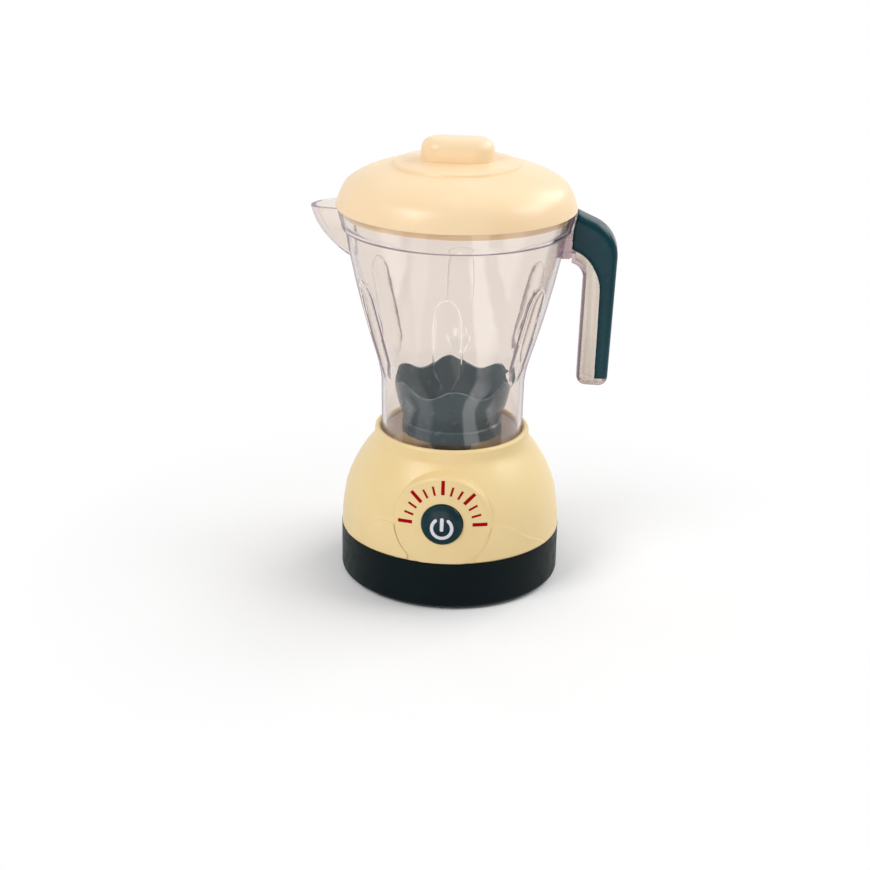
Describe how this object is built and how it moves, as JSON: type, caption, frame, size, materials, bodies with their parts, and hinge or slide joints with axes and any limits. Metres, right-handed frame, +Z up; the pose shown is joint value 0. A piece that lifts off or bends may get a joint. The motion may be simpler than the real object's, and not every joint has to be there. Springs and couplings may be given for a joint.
{
  "type": "toy blender",
  "caption": "Toy jug blender: round battery base with a push button, fluted clear jug with spout and grip handle, scalloped rotor cup and a lift-off domed lid",
  "frame": {"origin": "on the jug's axis, in the plane of the table under the base's soft foot ring", "axes": "+Z up along the jug's axis, -Y the front with the push button, +X the handle, -X the spout"},
  "size_m": [0.1613, 0.1262, 0.2407],
  "materials": {
    "cream_plastic": "smooth moulded",
    "dark_plastic": "smooth moulded",
    "teal_plastic": "smooth moulded",
    "button_plastic": "satin",
    "cup_plastic": "smoky moulded",
    "clear_plastic": "polished clear moulding",
    "white_plastic": "moulded",
    "soft_rubber": "matt",
    "cell_jacket": "printed jacket, plain",
    "steel": "bright",
    "bronze": "sintered"
  },
  "bodies": {
    "base": {"foot_ring": "soft_rubber", "base_skirt": "dark_plastic", "battery_cover": "dark_plastic", "battery_cover_screw": "steel", "batteries": "cell_jacket", "battery_contacts": "steel", "base_housing": "cream_plastic", "housing_screws": "steel", "switch_bracket": "white_plastic", "bracket_screws": "steel", "push_switch": "dark_plastic", "idler_axle": "steel", "gearbox_plate": "white_plastic", "gearbox_screws": "steel", "motor_can": "steel", "motor_end_cap": "white_plastic", "motor_screws": "steel", "output_bush": "bronze"},
    "button": {"power_button": "button_plastic", "switch_plunger": "white_plastic", "button_spring": "steel"},
    "drive": {"output_gear": "white_plastic", "output_shaft": "steel", "drive_coupler": "dark_plastic"},
    "idler": {"idler_gear": "white_plastic"},
    "motor_rotor": {"motor_pinion": "bronze", "motor_shaft": "steel"},
    "jug": {"jar": "clear_plastic", "jar_bush": "white_plastic", "handle_frame": "clear_plastic", "handle_cover": "teal_plastic"},
    "rotor": {"driven_coupler": "dark_plastic", "rotor_shaft": "steel", "rotor_cup": "cup_plastic", "rotor_cap": "cup_plastic"},
    "cover": {"lid": "cream_plastic", "lid_knob": "cream_plastic", "knob_screw": "steel"}
  },
  "joints": [
    {"name": "button_press", "type": "slide", "parent": "base", "child": "button", "axis": [0, 0.9903, -0.1392], "range_m": [0, 0.0025], "stiffness_N_per_m": 150, "springref_m": -0.004, "deforming": ["button_spring"]},
    {"name": "drive_turn", "type": "hinge", "parent": "base", "child": "drive", "pos_m": [0, 0, 0.06], "axis": [0, 0, 1], "continuous": true},
    {"name": "idler_turn", "type": "hinge", "parent": "base", "child": "idler", "pos_m": [0.0192, 0, 0.055], "axis": [0, 0, 1], "continuous": true},
    {"name": "motor_turn", "type": "hinge", "parent": "base", "child": "motor_rotor", "pos_m": [0.0276, -0.01455, 0.05], "axis": [0, 0, 1], "continuous": true},
    {"name": "jug_lift", "type": "slide", "parent": "base", "child": "jug", "axis": [0, 0, 1], "range_m": [0, 0.03]},
    {"name": "rotor_turn", "type": "hinge", "parent": "jug", "child": "rotor", "pos_m": [0, 0, 0.085], "axis": [0, 0, 1], "continuous": true},
    {"name": "lid_lift", "type": "slide", "parent": "jug", "child": "cover", "axis": [0, 0, 1], "range_m": [0, 0.04]}
  ],
  "couplings": [
    {"joint": "idler_turn", "follows": "drive_turn", "ratio": -3},
    {"joint": "motor_turn", "follows": "drive_turn", "ratio": 9.6},
    {"joint": "rotor_turn", "follows": "drive_turn", "ratio": 1}
  ]
}
